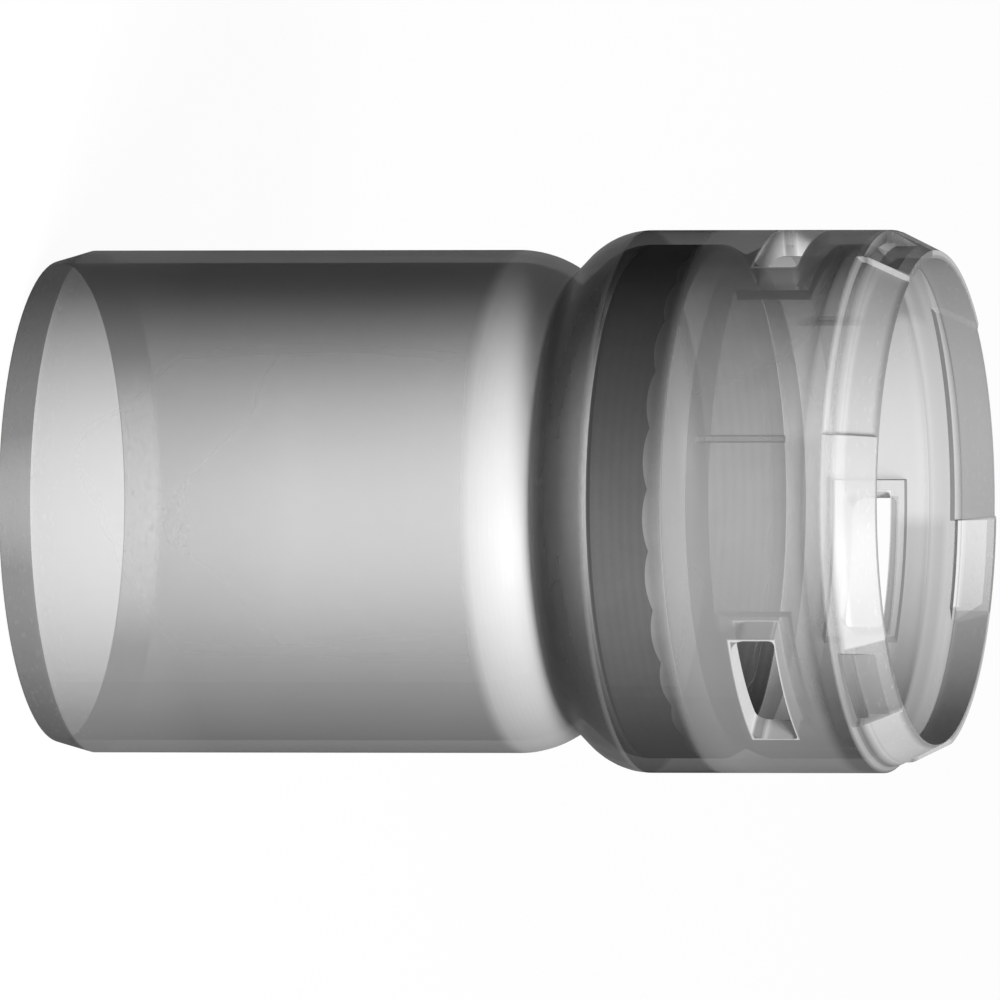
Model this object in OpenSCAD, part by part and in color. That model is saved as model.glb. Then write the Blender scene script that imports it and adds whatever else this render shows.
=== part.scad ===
// Flue pipe connector: a moulded tube with a plain spigot below, a V shaped neck groove,
// and a socket with three windows and a tapered mouth above. A soft seal sits in the socket.
// The tube's axis is Z, and its spigot end stands on z = 0. The first window faces +X.

/* [Spigot] */
// Outer diameter of the spigot
spigot_d = 80; // [60:0.5:120]
// Length of the straight spigot, from its end to the neck
spigot_length = 75.4; // [40:0.2:150]
// Wall of the spigot and the neck
spigot_wall = 2; // [1.6:0.1:3]
// Length of the lead in at the spigot's end
lead_in_length = 5.6; // [2:0.1:12]
// Width of the flat ring that the lead in leaves at the spigot's end
end_land = 0.4; // [0.2:0.05:1]

/* [Neck groove] */
// How far the groove's bottom lies inside the spigot's outer surface
groove_depth = 3.5; // [2:0.1:6]
// Rounding where the spigot turns into the groove
neck_round = 16; // [8:0.5:24]
// Slope of the groove's side towards the spigot
neck_slope = 33; // [25:1:45]
// Rounding of the groove's bottom
groove_round = 0.8; // [0.4:0.1:2]

/* [Socket] */
// Outer diameter of the socket
socket_d = 86.2; // [66:0.1:128]
// Wall of the socket
socket_wall = 2.3; // [1.8:0.1:3.5]
// Rounding of the socket's shoulder
shoulder_round = 11; // [6:0.5:16]
// Slope of the groove's side towards the socket
shoulder_slope = 45; // [35:1:60]
// Straight length of the socket, from the shoulder to the mouth's taper
socket_length = 38.9; // [34:0.1:80]

/* [Mouth] */
// Length of the tapered mouth
mouth_length = 7.4; // [5:0.1:12]
// Slope of the mouth's outer taper
mouth_slope = 26; // [15:1:30]
// Rounding where the socket turns into the taper
mouth_round = 3.2; // [1:0.1:6]
// Inner diameter of the mouth's lip
lip_bore_d = 77.2; // [57:0.1:119]
// Straight length of the mouth's lip inside
lip_length = 5.3; // [2:0.1:8]
// Length of the inner taper that leads from the socket to the lip
lip_taper_length = 6; // [4:0.1:12]

/* [Mouth reliefs and pockets] */
// How far the reliefs between the raised lands are sunk below the taper
relief_depth = 1; // [0.4:0.1:1.2]
// Share of a turn, in degrees, that each raised land takes
land_angle = 44.8; // [20:0.2:60]
// Depth of the pockets below the socket's outer surface
pocket_depth = 2.4; // [1.2:0.1:2.6]
// How far past the start of the taper each pocket begins
pocket_start = 0.3; // [0.1:0.1:1.5]
// Share of a turn, in degrees, that each pocket takes
pocket_angle = 22; // [10:0.5:30]
// How far each pocket is turned from the middle of its window, in degrees
pocket_offset = -0.8; // [-4:0.1:4]
// How far a land's side leans outwards over the pocket's depth, in degrees of turn
land_side_lean = 2.6; // [0:0.2:4]
// How far a relief's sides lean inwards between the socket's surface and the lip, in degrees of turn
relief_side_lean = 0.8; // [0.2:0.1:2]

/* [Windows] */
// Number of windows, with a pocket and a land for each
window_count = 3; // [2:1:4]
// Width of a window across the axis
window_width = 22.3; // [8:0.1:30]
// Length of a window along the axis
window_length = 7.3; // [5:0.1:12]
// Distance from the window's upper edge to the start of the mouth's taper
window_to_mouth = 9.8; // [4:0.1:20]
// Corner rounding on the side of the shoulder
window_lower_round = 2.5; // [0.5:0.1:3.5]
// Corner rounding on the side of the mouth
window_upper_round = 0.9; // [0.3:0.1:3]
// How far the thickened frame reaches round a window
window_frame = 2.3; // [1:0.1:4]

/* [Inside of the socket] */
// Height of the bead that holds the seal, and of the window frames
bead_height = 1.85; // [0.8:0.05:2.5]
// Length of the bead's slope towards the seal
bead_lower_slope = 3.6; // [1:0.1:6]
// Length of the bead's slope towards the mouth
bead_upper_slope = 4.3; // [1:0.1:6]
// Width of the guide ribs that lie midway between the windows
guide_rib_width = 1; // [0.6:0.1:2]
// Height of the guide ribs above the socket's inner wall
guide_rib_height = 1.2; // [0.4:0.1:2]

/* [Seal] */
// Length of the seal along the axis
seal_length = 12.4; // [8:0.1:18]
// Thickness of the seal at its end towards the neck
seal_thick = 2.65; // [1.5:0.05:4]
// Thickness of the seal's thick band at its other end
seal_thin = 1.2; // [0.8:0.05:2]
// Thickness of the seal's flange
seal_flange = 0.6; // [0.3:0.05:0.8]
// Length of the flange that shows past the thick band
seal_flange_length = 2.2; // [1:0.1:4]
// Number of scallops in the edge of the thick band
scallop_count = 26; // [12:1:40]
// Share of the room between two scallops' middles that each scallop takes
scallop_share = 0.94; // [0.5:0.01:0.96]
// Depth of each scallop
scallop_depth = 0.8; // [0.3:0.1:1.2]
// How far each scallop's root stands off the flange
scallop_root = 0.3; // [0.1:0.05:0.4]
// Bevel of the seal's outer corner, which clears the shoulder's rounding
seal_bevel = 0.9; // [0.3:0.1:1.5]
// Gap between the seal and the socket's wall
seal_clearance = 0.1; // [0.05:0.05:0.3]

/* [Hidden] */
$fn = 180;
// Degrees of an arc for each of its steps
arc_step = 3;
// How far a cut runs past the face that it starts from
past = 1;
// The same for the scallops, which are cut from inside the band
scallop_past = 0.5;
// Steps in each half of a scallop's curve, and how steeply the curve rises to its ends
scallop_steps = 4;
scallop_rise = 1.2;
// How many socket radii a wedge in plan reaches out, so that its straight outer sides clear the wall
wedge_reach = 1.2;

spigot_r = spigot_d / 2;
socket_r = socket_d / 2;
socket_in_r = socket_r - socket_wall;
wall_middle_r = socket_r - socket_wall / 2;
groove_r = spigot_r - groove_depth;
lip_r = lip_bore_d / 2;
sector = 360 / window_count;

// Centres of the three arcs of the fold, in [radius, height]. Each straight side of the groove
// touches the arc at both of its ends, which sets how far apart the centres stand.
neck_centre = [spigot_r - neck_round, spigot_length];
groove_centre = [
    groove_r + groove_round,
    spigot_length + side_run(neck_round, groove_r + groove_round - neck_centre[0], neck_slope)
];
shoulder_centre = [
    socket_r - shoulder_round,
    groove_centre[1] + side_run(shoulder_round, groove_centre[0] - socket_r + shoulder_round, shoulder_slope)
];
function side_run(round, rise, slope) = (round + groove_round - rise * cos(slope)) / sin(slope);

// Heights along the tube
shoulder_z = shoulder_centre[1];
mouth_z = shoulder_z + socket_length;
total_z = mouth_z + mouth_length;
lip_z = total_z - lip_length;
lip_taper_z = lip_z - lip_taper_length;
window_top_z = mouth_z - window_to_mouth;
window_mid_z = window_top_z - window_length / 2;
frame_low_z = window_top_z - window_length - window_frame;
frame_high_z = window_top_z + window_frame;
bead_r = socket_in_r - bead_height;
seal_top_z = frame_low_z - bead_lower_slope - bead_upper_slope;
seal_low_z = seal_top_z - seal_length;
mouth_centre = [socket_r - mouth_round, mouth_z];
mouth_round_end = [
    mouth_centre[0] + mouth_round * cos(mouth_slope),
    mouth_z + mouth_round * sin(mouth_slope)
];
mouth_end_r = mouth_round_end[0] - (total_z - mouth_round_end[1]) * tan(mouth_slope);
frame_half_angle = asin((window_width / 2 + window_frame) / socket_in_r);
pocket_floor_r = socket_r - pocket_depth;

// Points on an arc, from one angle to the other, where angle 0 points away from the axis
function arc(centre, r, from, to) =
    let (steps = max(1, ceil(abs(to - from) / arc_step)))
    [for (i = [0:steps]) let (a = from + (to - from) * i / steps) centre + r * [cos(a), sin(a)]];

// The fold from spigot to socket. A depth of 0 gives the outer surface, and a depth of the wall
// gives the inner surface, which runs at an even distance inside it.
function fold_line(neck_depth, shoulder_depth) = concat(
    arc(neck_centre, neck_round - neck_depth, 0, neck_slope),
    arc(groove_centre, groove_round + neck_depth, 180 + neck_slope, 180 - shoulder_slope),
    arc(shoulder_centre, shoulder_round - shoulder_depth, -shoulder_slope, 0)
);

// The outer line of the mouth, sunk by a depth
function mouth_line(depth) = concat(
    arc(mouth_centre, mouth_round - depth, 0, mouth_slope),
    [[mouth_end_r - depth / cos(mouth_slope), total_z]]
);

// A point in plan, at a radius and an angle
function plan(r, angle) = r * [cos(angle), sin(angle)];

module outer_form() {
    rotate_extrude() polygon(concat(
        [[0, 0], [spigot_r - spigot_wall + end_land, 0], [spigot_r, lead_in_length]],
        fold_line(0, 0),
        mouth_line(0),
        [[0, total_z]]
    ));
}

// The flue passage: everything inside the wall, with the bead and the lip left standing
module passage() {
    rotate_extrude() polygon(concat(
        [[0, -past], [spigot_r - spigot_wall, -past]],
        fold_line(spigot_wall, socket_wall),
        [
            [socket_in_r, seal_top_z],
            [bead_r, seal_top_z + bead_lower_slope],
            [socket_in_r, frame_low_z],
            [socket_in_r, lip_taper_z],
            [lip_r, lip_z],
            [lip_r, total_z + past],
            [0, total_z + past]
        ]
    ));
}

module ring(inner_r, outer_r, low_z, high_z) {
    translate([0, 0, low_z]) linear_extrude(high_z - low_z) difference() {
        circle(outer_r);
        circle(inner_r);
    }
}

// A rounded rectangle across the tube's wall, with y across the axis and z along it
module window_cut() {
    half = window_width / 2;
    low = -window_length / 2;
    high = window_length / 2;
    rotate([90, 0, 90]) linear_extrude(socket_r + past) union() {
        for (side = [-1, 1]) {
            translate([side * (half - window_lower_round), low + window_lower_round]) circle(window_lower_round);
            translate([side * (half - window_upper_round), high - window_upper_round]) circle(window_upper_round);
        }
        translate([-half + window_lower_round, low]) square([window_width - 2 * window_lower_round, window_length]);
        translate([-half + window_upper_round, high - window_lower_round])
            square([window_width - 2 * window_upper_round, window_lower_round]);
        translate([-half, low + window_lower_round])
            square([window_width, window_length - window_lower_round - window_upper_round]);
    }
}

// The thick frame inside the wall round a window
module window_frame_pad() {
    reach = wedge_reach * socket_r;
    intersection() {
        ring(bead_r, wall_middle_r, frame_low_z, frame_high_z);
        translate([0, 0, frame_low_z]) linear_extrude(frame_high_z - frame_low_z)
            polygon([[0, 0], plan(reach, -frame_half_angle), plan(reach, frame_half_angle)]);
    }
}

// A rib along the inner wall, from the bead to the height of the window frames
module guide_rib() {
    low_z = seal_top_z + bead_lower_slope;
    intersection() {
        ring(socket_in_r - guide_rib_height, wall_middle_r, low_z, frame_high_z);
        translate([0, -guide_rib_width / 2, low_z])
            cube([socket_r, guide_rib_width, frame_high_z - low_z]);
    }
}

// A wedge in plan between two angles. Each side leans by its own number of degrees between the
// socket's outer surface and the lowest radius that the wedge is cut down to.
module leaning_wedge(from, to, from_lean, to_lean, floor_r) {
    function side(angle, lean, r) = plan(r, angle + lean * (socket_r - r) / (socket_r - floor_r));
    inner_r = floor_r - past;
    outer_r = socket_r + past;
    polygon([
        side(from, from_lean, inner_r), side(from, from_lean, outer_r),
        plan(wedge_reach * outer_r, (from + to) / 2),
        side(to, to_lean, outer_r), side(to, to_lean, inner_r)
    ]);
}

// What a relief takes away: the mouth's skin, down to a surface that runs parallel to it. Its start
// slopes in from the socket's outer surface, as long as the relief is deep.
module relief_cut(from, to) {
    start_z = mouth_z - relief_depth;
    floor_line = mouth_line(relief_depth);
    intersection() {
        rotate_extrude() polygon(concat(
            [[socket_r + past, start_z - past], [socket_r + past, total_z + past]],
            [[mouth_end_r - relief_depth / cos(mouth_slope) - past * tan(mouth_slope), total_z + past]],
            [for (i = [len(floor_line) - 1:-1:0]) floor_line[i]],
            [[socket_r, start_z]]
        ));
        translate([0, 0, start_z - past]) linear_extrude(total_z - start_z + 2 * past)
            leaning_wedge(from, to, relief_side_lean, -relief_side_lean, lip_r);
    }
}

// A pocket with a round floor, cut straight into the taper
module pocket_cut(from, to) {
    intersection() {
        ring(pocket_floor_r, socket_r + past, mouth_z + pocket_start, total_z + past);
        translate([0, 0, mouth_z + pocket_start]) linear_extrude(mouth_length + past)
            leaning_wedge(from, to, land_side_lean, 0, pocket_floor_r);
    }
}

module connector_body() {
    land_from = -sector / 2;
    land_to = land_from + land_angle;
    pocket_from = pocket_offset - pocket_angle / 2;
    pocket_to = pocket_offset + pocket_angle / 2;
    color("gainsboro", 0.6) difference() {
        union() {
            difference() {
                outer_form();
                passage();
            }
            for (i = [0:window_count - 1]) {
                rotate(i * sector) window_frame_pad();
                rotate((i + 0.5) * sector) guide_rib();
            }
        }
        for (i = [0:window_count - 1]) rotate(i * sector) {
            translate([0, 0, window_mid_z]) window_cut();
            pocket_cut(max(pocket_from, land_to), pocket_to);
            relief_cut(pocket_to, land_from + sector);
        }
    }
}

// The seal: a thick band with a scalloped edge, and a thin flange that reaches past it along the
// socket's wall. The scallops stop short of the flange, and each one's curve ends a little above
// the band's edge, so that it crosses the edge at an angle.
module lip_seal() {
    seal_out_r = socket_in_r - seal_clearance;
    band_top_z = seal_top_z - seal_flange_length;
    band_low_r = seal_out_r - seal_thick;
    flange_r = seal_out_r - seal_flange;
    scallop_half = scallop_share * PI * band_low_r / scallop_count;
    scallop_from_r = band_low_r - scallop_past;
    scallop_root_r = flange_r - scallop_root;
    scallop_line = [for (i = [-scallop_steps:scallop_steps]) let (share = i / scallop_steps) [
        scallop_half * share,
        band_top_z - scallop_depth * (1 - scallop_rise * pow(share, 2))
    ]];
    color("dimgray") difference() {
        rotate_extrude() polygon([
            [band_low_r, seal_low_z],
            [seal_out_r - seal_bevel, seal_low_z],
            [seal_out_r, seal_low_z + seal_bevel],
            [seal_out_r, seal_top_z],
            [flange_r, seal_top_z],
            [flange_r, band_top_z],
            [seal_out_r - seal_thin, band_top_z]
        ]);
        for (i = [0:scallop_count - 1]) rotate(i * 360 / scallop_count)
            translate([scallop_from_r, 0, 0]) rotate([90, 0, 90])
                linear_extrude(scallop_root_r - scallop_from_r) polygon(concat(
                    scallop_line,
                    [[scallop_half, band_top_z + past], [-scallop_half, band_top_z + past]]
                ));
    }
}

connector_body();
lip_seal();
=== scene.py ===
"""A see-through flue pipe connector with a dark seal inside, lying across a white picture."""

import math

import bmesh
import bpy
from mathutils import Matrix, Vector


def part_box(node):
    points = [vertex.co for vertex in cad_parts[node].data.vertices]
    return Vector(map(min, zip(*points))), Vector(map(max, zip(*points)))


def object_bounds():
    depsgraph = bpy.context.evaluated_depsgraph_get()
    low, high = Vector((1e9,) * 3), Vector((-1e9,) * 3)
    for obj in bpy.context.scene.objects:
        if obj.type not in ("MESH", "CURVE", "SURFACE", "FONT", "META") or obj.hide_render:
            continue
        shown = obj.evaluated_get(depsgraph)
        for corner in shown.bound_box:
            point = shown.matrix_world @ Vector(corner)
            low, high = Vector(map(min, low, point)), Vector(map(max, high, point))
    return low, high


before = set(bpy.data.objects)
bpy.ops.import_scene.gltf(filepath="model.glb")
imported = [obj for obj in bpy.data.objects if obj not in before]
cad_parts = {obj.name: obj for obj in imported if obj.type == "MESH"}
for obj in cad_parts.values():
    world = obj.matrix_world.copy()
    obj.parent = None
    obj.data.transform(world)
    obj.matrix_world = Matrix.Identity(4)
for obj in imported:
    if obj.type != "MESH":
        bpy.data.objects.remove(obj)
CAD_BOX = [list(corner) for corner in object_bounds()]

MM = 0.001
FULL_TURN = 360
UP = Vector((0, 0, 1))
WHITE = (1, 1, 1, 1)

# The photograph: the tube lies across it, seen from the side with a small turn towards its mouth.
# The scale and the two pixels say where the spigot's end and the tube's axis lie in it.
PHOTO_SIDE = 1000
PIXELS_PER_MM = 6.29
SPIGOT_END_PIXEL_X = 61
AXIS_PIXEL_Y = 501.5
VIEW_TURN = math.radians(14.6)
VIEW_AZIMUTH = math.radians(-45.75)

# The camera's lens and sensor in millimetres, the nearest that it sees in metres, and the farthest
# as so many distances to the tube
LENS = 1500
SENSOR = 36
NEAR_CLIP = 0.1
FAR_CLIP = 3

# The picture's own directions, in the part's frame
SIDE = Vector((math.cos(VIEW_AZIMUTH), math.sin(VIEW_AZIMUTH), 0))
PICTURE_UP = Vector((math.sin(VIEW_AZIMUTH), -math.cos(VIEW_AZIMUTH), 0))
TO_CAMERA = math.cos(VIEW_TURN) * SIDE + math.sin(VIEW_TURN) * UP
PICTURE_RIGHT = PICTURE_UP.cross(TO_CAMERA)

# The soft lamp: degrees round the tube from the camera's side, degrees up from there towards the
# mouth, and its distance and size in metres
LAMP_AROUND = 27
LAMP_ABOVE = 45
LAMP_DISTANCE = 1.2
LAMP_SIZE = 0.4
LAMP_POWER = 21

# The world's light on the object, and the floor, with its radius and drop in metres
AMBIENT = 0.1
FLOOR_RADIUS = 3
FLOOR_SEGMENTS = 96
FLOOR_DROP = 0.0003
FLOOR_LIT = 0.04
FLOOR_GLOW = 0.96

# Heights along the tube, in millimetres
LEAD_IN_Z = 5.6
NECK_Z = 75.4
GROOVE_Z = 85.8
SEAL_LOW_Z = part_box("lip_seal")[0][2] / MM
SEAL_HIGH_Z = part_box("lip_seal")[1][2] / MM
LIP_TAPER_Z = 132.2
MOUTH_Z = 136.2
LIP_START_Z = MOUTH_Z + 1.3
LIP_Z = 138.2
TOP_Z = CAD_BOX[1][2] / MM

# The wall's inner skin gives way to its outer one between these two radii, in millimetres
SPIGOT_SKINS = (38.2, 38.3)
SOCKET_SKINS = (41.1, 41.4)
LIP_SKINS = (38.9, 39.3)

# The wall along the tube: a height, the share of milk in each of its surfaces and the milk's tone. The
# tone holds painted light. It is darker at the chamfered end as painted shade, painted white as a
# highlight where the tube bends into the neck towards the lamp, and painted dark with dense milk as shade
# in the fold behind it, which turns from the lamp. The wall is clear over the seal and milky again at the
# lip, with painted dark rings of shade on each side of a painted pale ring of highlight where the mouth
# bends inwards.
WALL_WITH_PAINTED_LIGHT = [
    # Darker towards the chamfered end: painted shade where the chamfer turns from the lamp
    (0, 0.2, 0.75),
    (LEAD_IN_Z - 0.4, 0.2, 0.75),
    (LEAD_IN_Z + 0.2, 0.3, 0.78),
    (20, 0.25, 0.87),
    (28, 0.2, 0.95),
    (NECK_Z, 0.2, 0.95),
    # Painted highlight on the bend into the neck, which faces the lamp
    (NECK_Z + 2, 0.35, 1.0),
    (GROOVE_Z - 0.6, 0.35, 1.0),
    # Painted shade in the fold behind the neck, which faces away from the lamp
    (GROOVE_Z + 1.4, 0.5, 0.1),
    (SEAL_LOW_Z - 0.2, 0.5, 0.1),
    (SEAL_LOW_Z + 0.5, 0.05, 0.95),
    (SEAL_HIGH_Z - 0.4, 0.05, 0.9),
    (SEAL_HIGH_Z + 0.6, 0.2, 0.87),
    (114, 0.3, 0.7),
    (LIP_TAPER_Z - 1.3, 0.27, 0.65),
    # Painted shade, then a painted highlight ring, then painted shade again, where the mouth bends
    # inwards
    (LIP_TAPER_Z + 0.6, 0.33, 0.2),
    (MOUTH_Z - 1.0, 0.33, 0.15),
    (MOUTH_Z - 0.5, 0.35, 0.85),
    (MOUTH_Z - 0.1, 0.35, 0.85),
    (MOUTH_Z + 0.3, 0.35, 0.4),
    (MOUTH_Z + 0.9, 0.35, 0.4),
    (MOUTH_Z + 1.4, 0.55, 0.75),
    (TOP_Z, 0.55, 0.75)
]

# How much light the clear part of a surface lets through, from seen square on, at 0, to seen along it, at
# 1. On the outside of the spigot's chamfer it falls sooner, as painted shade where that slanted face
# turns from the lamp.
CLEARNESS = [(0, 1.0), (0.54, 0.35), (0.85, 0.25), (1, 0.1)]
CHAMFER_SHADED_CLEARNESS = [(0, 1.0), (0.07, 0.95), (0.18, 0.33), (0.6, 0.2), (1, 0.1)]
EVEN_BLEND = 0.5

# Windows, pockets and raised lands each come three times round the tube. Pockets and lands are placed
# by the middle of one, half its width and the softness of its ends, in degrees of turn.
REPEATS = 3

# The lip's bore is painted darker than its outside, as shade inside the mouth, but not in the pockets,
# where the thin wall is clearer
LIP_BORE_SHADE = 0.55
POCKET_MIDDLE = -1.15
POCKET_HALF = 11.35
POCKET_SOFTNESS = 0.25
POCKET_MILK = 0.45

# The socket's inside is painted darker behind the raised lands, as painted shade on the far wall, at the
# heights that the shade's stops give
LAND_MIDDLE = -24.9
LAND_HALF = 35.1
LAND_SOFTNESS = 2
LAND_SHADE = [(126.5, 0), (129, 1), (MOUTH_Z - 1.5, 1), (MOUTH_Z - 0.6, 0)]
LAND_SHADE_MILK = 0.15
LAND_SHADE_TONE = 0.4

# The cone inside the mouth is polished: it has little milk, and doesn't darken edge on
CONE_SHARE = [(LIP_TAPER_Z - 0.2, 0), (LIP_TAPER_Z + 0.2, 1), (LIP_Z - 0.2, 1), (LIP_Z + 0.2, 0)]
CONE_MILK = 0.1
CONE_CLEARNESS = 0.96

# The windows, whose cut edges are painted whiter as a highlight: most within the core and not at all past
# the width
WINDOW_Z = 122.7
WINDOW_WIDTH = 22.3
WINDOW_LENGTH = 7.3
EDGE_WIDTH = 0.35
EDGE_CORE = 0.3 * EDGE_WIDTH
EDGE_HIGHLIGHT_MILK = 0.4
EDGE_HIGHLIGHT_TONE = 0.85

# Most of a noise's values lie in the first range, and nearly all of them in the second
NOISE_CORE = (0.3, 0.7)
NOISE_SPAN = (0.2, 0.8)

# The plastic's marks: clouds in its milk, flow lines, grain, and scuffs that show near the two ends.
# Sizes and depths are in millimetres, and a stretch draws marks out along the tube.
CLOUD_SIZE = 22
CLOUD_STRETCH = 2.5
CLOUD_AMOUNT = 0.07
STREAK_SIZE = 3
STREAK_STRETCH = 12
STREAK_HEIGHT = 0.6
PLASTIC_GRAIN_SIZE = 0.5
SCUFF_SIZE = 1.6
SCUFF_STRETCH = 0.4
SCUFF_EDGES = (0.58, 0.7)
SCUFFED_ENDS = [(0, 1), (LEAD_IN_Z, 0.5), (12, 0), (MOUTH_Z, 0), (TOP_Z - 1, 0.6), (TOP_Z, 1)]
SCUFF_MILK = 0.12
SCUFF_ROUGHNESS = 0.2

# The plastic's own surface
PLASTIC_IOR = 1.45
PLASTIC_GLOSS = 0.25
PLASTIC_ROUGHNESS = (0.34, 0.44)
PLASTIC_BUMP = 0.06
PLASTIC_DEPTH = 0.03

# The seal: its outer radius, its thin flange, and the scalloped edge between flange and thick band
SEAL_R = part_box("lip_seal")[1][0] / MM
OUTER_SKIN = 0.25
FLANGE_LENGTH = 2.2
SCALLOP_COUNT = 26
SCALLOP_DEPTH = 0.8
BAND_TONE = 0.24
FLANGE_PAINTED_LIGHT = 0.75

# The rubber's marks and surface: patches and grain in its tone, grain and moulding rings in its bump
PATCH_SIZE = 5
PATCH_AMOUNT = 0.12
RUBBER_GRAIN_SIZE = 0.35
RUBBER_GRAIN_AMOUNT = 0.06
RUBBER_GRAIN_HEIGHT = 0.5
RING_SPACING = 1.55
RUBBER_GLOSS = 0.3
RUBBER_ROUGHNESS = (0.52, 0.7)
RUBBER_BUMP = 0.35
RUBBER_DEPTH = 0.08


def make_camera():
    """A very long lens, so that the rays are nearly parallel, with the tube's axis from left to right."""
    width = PHOTO_SIDE / PIXELS_PER_MM * MM
    distance = width * LENS / SENSOR
    data = bpy.data.cameras.new("camera")
    data.lens = LENS
    data.sensor_width = SENSOR
    data.clip_start = NEAR_CLIP
    data.clip_end = FAR_CLIP * distance
    camera = bpy.data.objects.new("camera", data)
    bpy.context.scene.collection.objects.link(camera)
    half = PHOTO_SIDE / 2
    along = (half - SPIGOT_END_PIXEL_X) / (PIXELS_PER_MM * math.cos(VIEW_TURN)) * MM
    aside = (AXIS_PIXEL_Y - half) / PIXELS_PER_MM * MM
    target = along * UP + aside * PICTURE_UP
    turn = Matrix((PICTURE_RIGHT, PICTURE_UP, TO_CAMERA)).transposed().to_4x4()
    camera.matrix_world = Matrix.Translation(target + distance * TO_CAMERA) @ turn
    bpy.context.scene.camera = camera


def make_lamp():
    """One soft lamp, turned from the camera's side towards the picture's bottom and the tube's mouth."""
    turn = VIEW_AZIMUTH + math.radians(LAMP_AROUND)
    lift = math.radians(LAMP_ABOVE)
    direction = math.cos(lift) * Vector((math.cos(turn), math.sin(turn), 0)) + math.sin(lift) * UP
    data = bpy.data.lights.new("key", "AREA")
    data.shape = "SQUARE"
    data.size = LAMP_SIZE
    data.energy = LAMP_POWER
    lamp = bpy.data.objects.new("key", data)
    bpy.context.scene.collection.objects.link(lamp)
    lamp.location = TOP_Z / 2 * MM * UP + LAMP_DISTANCE * direction
    lamp.rotation_mode = "QUATERNION"
    lamp.rotation_quaternion = (-direction).to_track_quat("-Z", "Y")


def seen_directly(nodes, links):
    """1 for rays from the camera, mirror-like ones and those through glass, 0 for light on things."""
    path = nodes.new("ShaderNodeLightPath")
    total = path.outputs["Is Camera Ray"]
    for name in ("Is Glossy Ray", "Is Transmission Ray"):
        pick = nodes.new("ShaderNodeMath")
        pick.operation = "MAXIMUM"
        links.new(total, pick.inputs[0])
        links.new(path.outputs[name], pick.inputs[1])
        total = pick.outputs[0]
    return total


def make_world():
    """White where it is seen, and a low even light on the object."""
    world = bpy.data.worlds.new("studio")
    bpy.context.scene.world = world
    world.use_nodes = True
    nodes, links = world.node_tree.nodes, world.node_tree.links
    nodes.clear()
    output = nodes.new("ShaderNodeOutputWorld")
    mix = nodes.new("ShaderNodeMixShader")
    ambient = nodes.new("ShaderNodeBackground")
    shown = nodes.new("ShaderNodeBackground")
    ambient.inputs["Color"].default_value = WHITE
    ambient.inputs["Strength"].default_value = AMBIENT
    shown.inputs["Color"].default_value = WHITE
    shown.inputs["Strength"].default_value = 1
    links.new(seen_directly(nodes, links), mix.inputs["Fac"])
    links.new(ambient.outputs[0], mix.inputs[1])
    links.new(shown.outputs[0], mix.inputs[2])
    links.new(mix.outputs[0], output.inputs["Surface"])


def make_floor():
    """A pale floor that stays white in the picture and keeps a soft shadow."""
    mesh = bpy.data.meshes.new("floor")
    build = bmesh.new()
    bmesh.ops.create_circle(build, cap_ends=True, segments=FLOOR_SEGMENTS, radius=FLOOR_RADIUS)
    build.to_mesh(mesh)
    build.free()
    floor = bpy.data.objects.new("floor", mesh)
    floor.location.z = -FLOOR_DROP
    bpy.context.scene.collection.objects.link(floor)
    material = bpy.data.materials.new("floor")
    material.use_nodes = True
    nodes, links = material.node_tree.nodes, material.node_tree.links
    nodes.clear()
    output = nodes.new("ShaderNodeOutputMaterial")
    lit = nodes.new("ShaderNodeBsdfDiffuse")
    lit.inputs["Color"].default_value = (FLOOR_LIT, FLOOR_LIT, FLOOR_LIT, 1)
    glow = nodes.new("ShaderNodeEmission")
    level = nodes.new("ShaderNodeMath")
    level.operation = "MULTIPLY"
    level.inputs[1].default_value = FLOOR_GLOW
    both = nodes.new("ShaderNodeAddShader")
    links.new(seen_directly(nodes, links), level.inputs[0])
    links.new(level.outputs[0], glow.inputs["Strength"])
    links.new(lit.outputs[0], both.inputs[0])
    links.new(glow.outputs[0], both.inputs[1])
    links.new(both.outputs[0], output.inputs["Surface"])
    mesh.materials.append(material)


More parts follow.
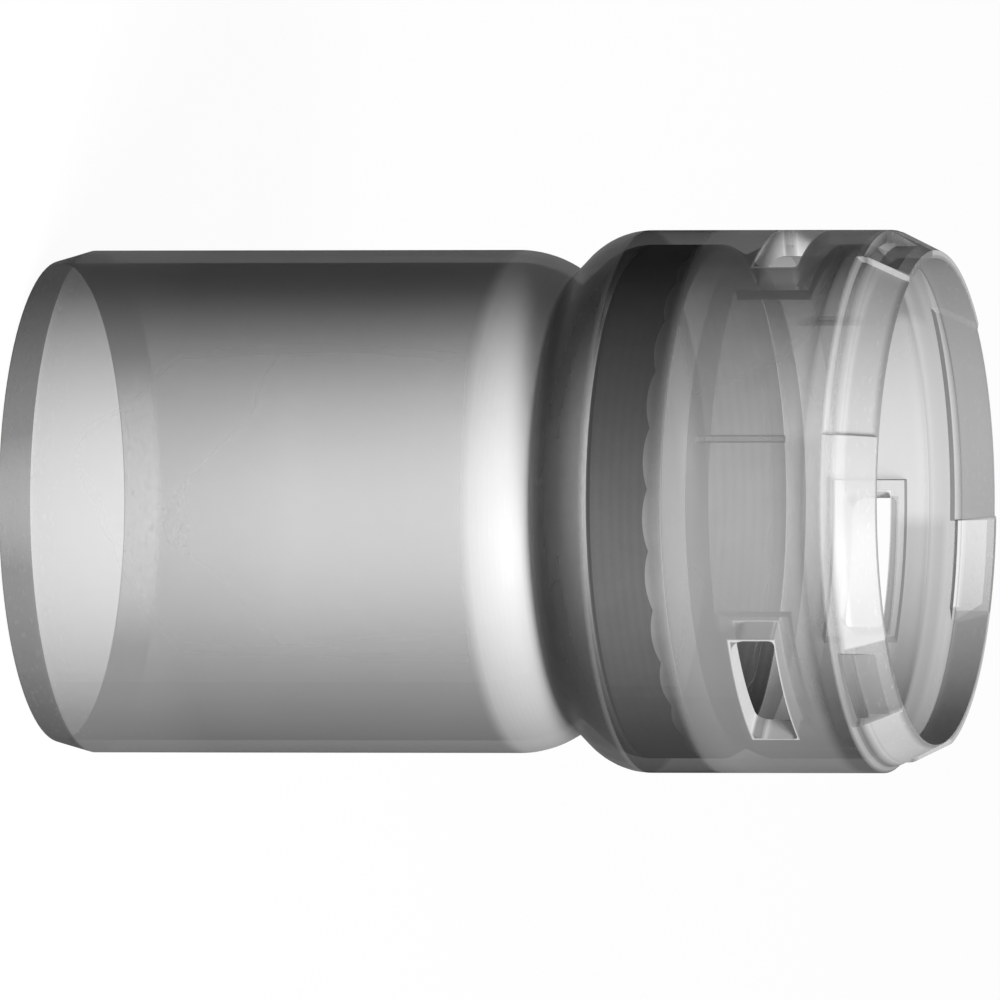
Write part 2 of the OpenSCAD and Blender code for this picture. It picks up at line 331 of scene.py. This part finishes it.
class Finish:
    """A material being made, with short calls that add nodes to it and link them."""

    def __init__(self, name):
        self.material = bpy.data.materials.new(name)
        self.material.use_nodes = True
        self.nodes = self.material.node_tree.nodes
        self.links = self.material.node_tree.links
        self.shader = self.nodes["Principled BSDF"]
        self.output = self.nodes["Material Output"]
        self.place = self.nodes.new("ShaderNodeTexCoord").outputs["Object"]
        split = self.nodes.new("ShaderNodeSeparateXYZ")
        self.links.new(self.place, split.inputs[0])
        x, y, self.z = split.outputs
        self.radius = self.math("SQRT", self.plus(self.times(x, x), self.times(y, y)))
        self.turn = self.math("DIVIDE", self.math("ARCTAN2", y, x), 2 * math.pi)

    def feed(self, value, socket):
        """Links another node's output to a socket, or sets the socket to a number."""
        if isinstance(value, bpy.types.NodeSocket):
            self.links.new(value, socket)
        else:
            socket.default_value = value

    def math(self, operation, first, second=0.0):
        """The result of one Math node."""
        node = self.nodes.new("ShaderNodeMath")
        node.operation = operation
        self.feed(first, node.inputs[0])
        self.feed(second, node.inputs[1])
        return node.outputs[0]

    def times(self, first, second):
        """The product of two values."""
        return self.math("MULTIPLY", first, second)

    def plus(self, first, second):
        """The sum of two values."""
        return self.math("ADD", first, second)

    def minus(self, first, second):
        """The first value less the second."""
        return self.math("SUBTRACT", first, second)

    def spread(self, value, old, new):
        """Moves a value from one range, given by its two ends, into another, and keeps it inside that."""
        node = self.nodes.new("ShaderNodeMapRange")
        self.feed(value, node.inputs["Value"])
        node.inputs["From Min"].default_value = old[0]
        node.inputs["From Max"].default_value = old[1]
        node.inputs["To Min"].default_value = new[0]
        node.inputs["To Max"].default_value = new[1]
        return node.outputs[0]

    def scaled(self, value, share, factor):
        """A value times the factor where the share is 1, and unchanged where it is 0."""
        return self.times(value, self.spread(share, (0, 1), (1, factor)))

    def curve(self, value, stops):
        """A grey that follows a value between 0 and 1 through stops, straight from one to the next."""
        ramp = self.nodes.new("ShaderNodeValToRGB")
        elements = ramp.color_ramp.elements
        while len(elements) < len(stops):
            elements.new(1)
        for element, (place, tone) in zip(elements, stops):
            element.position = place
            element.color = (tone, tone, tone, 1)
        self.links.new(value, ramp.inputs["Fac"])
        return ramp.outputs["Color"]

    def along(self, stops):
        """A grey that changes along the tube, through stops of a height in millimetres and a tone."""
        share = self.spread(self.z, (0, TOP_Z * MM), (0, 1))
        return self.curve(share, [(height / TOP_Z, tone) for height, tone in stops])

    def past(self, height):
        """1 above a height in millimetres, and 0 below it."""
        return self.math("GREATER_THAN", self.z, height * MM)

    def across(self, radii, ends):
        """A value that goes from one end to the other between two radii in millimetres."""
        return self.spread(self.radius, (radii[0] * MM, radii[1] * MM), ends)

    def aside(self, count, middle=0):
        """The turn from the nearest of evenly spaced middles, from -0.5 to 0.5 of their spacing."""
        turn = self.times(self.minus(self.turn, middle / FULL_TURN), count)
        return self.minus(turn, self.math("ROUND", turn))

    def sector(self, middle, half, softness):
        """1 in the sectors that repeat round the tube, and 0 outside them, all in degrees of turn."""
        aside = self.math("ABSOLUTE", self.aside(REPEATS, middle))
        scale = REPEATS / FULL_TURN
        return self.spread(aside, ((half - softness) * scale, (half + softness) * scale), (1, 0))

    def noise(self, size, stretch=1, detail=2):
        """Noise from 0 to 1 with spots of a size in millimetres, drawn out along the tube by stretch."""
        mapping = self.nodes.new("ShaderNodeMapping")
        mapping.inputs["Scale"].default_value = (1, 1, 1 / stretch)
        self.links.new(self.place, mapping.inputs["Vector"])
        node = self.nodes.new("ShaderNodeTexNoise")
        node.inputs["Scale"].default_value = 1 / (size * MM)
        node.inputs["Detail"].default_value = detail
        self.links.new(mapping.outputs[0], node.inputs["Vector"])
        return node.outputs["Fac"]

    def vary(self, value, noise, amount):
        """A value that the noise moves up and down by a share of itself."""
        return self.times(value, self.spread(noise, NOISE_SPAN, (1 - amount, 1 + amount)))

    def bump(self, height, strength, depth):
        """Raises the surface by a height between 0 and 1, to a depth in millimetres."""
        node = self.nodes.new("ShaderNodeBump")
        node.inputs["Strength"].default_value = strength
        node.inputs["Distance"].default_value = depth * MM
        self.links.new(height, node.inputs["Height"])
        self.links.new(node.outputs[0], self.shader.inputs["Normal"])


def at_window_edge(finish):
    """1 at the cut edges of the windows, and 0 a little away from them."""
    turn = finish.times(finish.aside(REPEATS), 2 * math.pi / REPEATS)
    across = finish.math("ABSOLUTE", finish.times(finish.radius, finish.math("SINE", turn)))
    along = finish.math("ABSOLUTE", finish.minus(finish.z, WINDOW_Z * MM))
    side = finish.minus(across, WINDOW_WIDTH / 2 * MM)
    end = finish.minus(along, WINDOW_LENGTH / 2 * MM)
    distance = finish.math("ABSOLUTE", finish.math("MAXIMUM", side, end))
    return finish.spread(distance, (EDGE_CORE * MM, EDGE_WIDTH * MM), (1, 0))


def in_pocket(finish):
    """1 where the mouth's pockets thin the lip, and 0 elsewhere."""
    sector = finish.sector(POCKET_MIDDLE, POCKET_HALF, POCKET_SOFTNESS)
    return finish.times(sector, finish.past(LIP_START_Z))


def on_chamfer(finish):
    """1 on the slanted outside of the spigot's end, and 0 elsewhere."""
    outside = finish.across(SPIGOT_SKINS, (0, 1))
    return finish.times(outside, finish.math("LESS_THAN", finish.z, LEAD_IN_Z * MM))


def in_socket(finish):
    """1 on the socket's inner skin, and 0 on its outer one."""
    return finish.across(SOCKET_SKINS, (1, 0))


def behind_land(finish):
    """1 on the socket's inner skin behind the raised lands, and 0 elsewhere."""
    sector = finish.sector(LAND_MIDDLE, LAND_HALF, LAND_SOFTNESS)
    return finish.times(finish.times(sector, in_socket(finish)), finish.along(LAND_SHADE))


def in_lip_bore(finish, pocket):
    """1 on the lip's bore away from the pockets, and 0 elsewhere."""
    bore = finish.times(finish.across(LIP_SKINS, (1, 0)), finish.past(LIP_START_Z))
    return finish.times(bore, finish.minus(1.0, pocket))


def clear_shader(finish, cone):
    """Clear grey that lets less light through edge on, but not on the polished cone, with painted shade
    on the chamfer's outside.
    """
    weight = finish.nodes.new("ShaderNodeLayerWeight")
    weight.inputs["Blend"].default_value = EVEN_BLEND
    clearness = finish.curve(weight.outputs["Facing"], CLEARNESS)
    clearness = finish.math("MAXIMUM", clearness, finish.times(cone, CONE_CLEARNESS))
    # Painted shade on the chamfer's outside, as a darker see-through grey
    slanted = finish.curve(weight.outputs["Facing"], CHAMFER_SHADED_CLEARNESS)
    chamfer_painted_shade = finish.times(on_chamfer(finish), finish.minus(clearness, slanted))
    clear = finish.nodes.new("ShaderNodeBsdfTransparent")
    finish.links.new(finish.minus(clearness, chamfer_painted_shade), clear.inputs["Color"])
    return clear.outputs[0]


def plastic_finish():
    """Smoky see-through plastic: a little milk in each surface, and clear grey that darkens edge on.

    The milk is cloudy, with scuffs near the two ends, and the surface has faint drawn-out flow lines. Its
    tone and milk also carry painted light: painted shade at the chamfer, in the fold, in the lip's bore,
    behind the lands and at the mouth's bend, and painted highlights on the neck bend, at the mouth's edge
    and along the window edges.
    """
    finish = Finish("body_plastic")
    clouds = finish.noise(CLOUD_SIZE, CLOUD_STRETCH)
    streaks = finish.noise(STREAK_SIZE, STREAK_STRETCH)
    grain = finish.noise(PLASTIC_GRAIN_SIZE, detail=3)
    scuffs = finish.spread(finish.noise(SCUFF_SIZE, SCUFF_STRETCH, detail=4), SCUFF_EDGES, (0, 1))
    wear = finish.times(scuffs, finish.along(SCUFFED_ENDS))
    pocket = in_pocket(finish)
    cone = finish.times(in_socket(finish), finish.along(CONE_SHARE))
    # Painted shade on the socket's inside behind the lands
    painted_land_shade = behind_land(finish)
    # Painted highlight along the windows' cut edges
    edges = at_window_edge(finish)

    milk = finish.along([(height, milk) for height, milk, tone in WALL_WITH_PAINTED_LIGHT])
    milk = finish.vary(milk, clouds, CLOUD_AMOUNT)
    milk = finish.scaled(milk, pocket, POCKET_MILK)
    milk = finish.plus(milk, finish.times(wear, SCUFF_MILK))
    milk = finish.scaled(milk, cone, CONE_MILK)
    milk = finish.plus(milk, finish.times(painted_land_shade, LAND_SHADE_MILK))
    milk = finish.plus(milk, finish.times(edges, EDGE_HIGHLIGHT_MILK))

    # The tone along the tube carries the wall table's painted shade and painted highlights
    tone = finish.along([(height, tone) for height, milk, tone in WALL_WITH_PAINTED_LIGHT])
    # Painted shade in the lip's bore
    tone = finish.scaled(tone, in_lip_bore(finish, pocket), LIP_BORE_SHADE)
    tone = finish.scaled(tone, painted_land_shade, LAND_SHADE_TONE)
    tone = finish.math("MAXIMUM", tone, finish.times(edges, EDGE_HIGHLIGHT_TONE))

    shader = finish.shader
    shader.inputs["IOR"].default_value = PLASTIC_IOR
    shader.inputs["Specular IOR Level"].default_value = PLASTIC_GLOSS
    finish.links.new(tone, shader.inputs["Base Color"])
    rough = finish.spread(streaks, NOISE_CORE, PLASTIC_ROUGHNESS)
    rough = finish.plus(rough, finish.times(wear, SCUFF_ROUGHNESS))
    finish.links.new(rough, shader.inputs["Roughness"])
    height = finish.plus(grain, finish.times(streaks, STREAK_HEIGHT))
    finish.bump(height, PLASTIC_BUMP, PLASTIC_DEPTH)

    mix = finish.nodes.new("ShaderNodeMixShader")
    finish.links.new(milk, mix.inputs["Fac"])
    finish.links.new(clear_shader(finish, cone), mix.inputs[1])
    finish.links.new(shader.outputs[0], mix.inputs[2])
    finish.links.new(mix.outputs[0], finish.output.inputs["Surface"])
    return finish.material


def on_flange(finish):
    """1 on the outer skin of the seal's flange, past the thick band's scalloped edge, and 0 elsewhere."""
    aside = finish.times(finish.aside(SCALLOP_COUNT), 2)
    dip = finish.minus(1.0, finish.times(aside, aside))
    band_top = (SEAL_HIGH_Z - FLANGE_LENGTH) * MM
    edge = finish.minus(band_top, finish.times(dip, SCALLOP_DEPTH * MM))
    outer = finish.math("GREATER_THAN", finish.radius, (SEAL_R - OUTER_SKIN) * MM)
    return finish.times(finish.math("GREATER_THAN", finish.z, edge), outer)


def rubber_finish():
    """Dark grey rubber with a fine grain and moulding rings, and its thin flange painted pale, as painted
    light where light shines through it.
    """
    finish = Finish("seal_rubber")
    patches = finish.noise(PATCH_SIZE, detail=3)
    grain = finish.noise(RUBBER_GRAIN_SIZE, detail=3)
    rings = finish.math("SINE", finish.times(finish.z, 2 * math.pi / (RING_SPACING * MM)))
    rings = finish.spread(rings, (-1, 1), (0, 1))
    # The flange's pale tone is painted light, for light shining through the thin rubber
    tone = finish.spread(on_flange(finish), (0, 1), (BAND_TONE, FLANGE_PAINTED_LIGHT))
    tone = finish.vary(tone, patches, PATCH_AMOUNT)
    tone = finish.vary(tone, grain, RUBBER_GRAIN_AMOUNT)

    shader = finish.shader
    shader.inputs["Specular IOR Level"].default_value = RUBBER_GLOSS
    finish.links.new(tone, shader.inputs["Base Color"])
    finish.links.new(finish.spread(patches, NOISE_CORE, RUBBER_ROUGHNESS), shader.inputs["Roughness"])
    height = finish.plus(rings, finish.times(grain, RUBBER_GRAIN_HEIGHT))
    finish.bump(height, RUBBER_BUMP, RUBBER_DEPTH)
    return finish.material


def dress(node, material):
    """Gives a CAD node its material."""
    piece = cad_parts[node]
    piece.data.materials.clear()
    piece.data.materials.append(material)


make_camera()
make_lamp()
make_world()
make_floor()
dress("connector_body", plastic_finish())
dress("lip_seal", rubber_finish())
bpy.context.scene.view_settings.view_transform = "Standard"
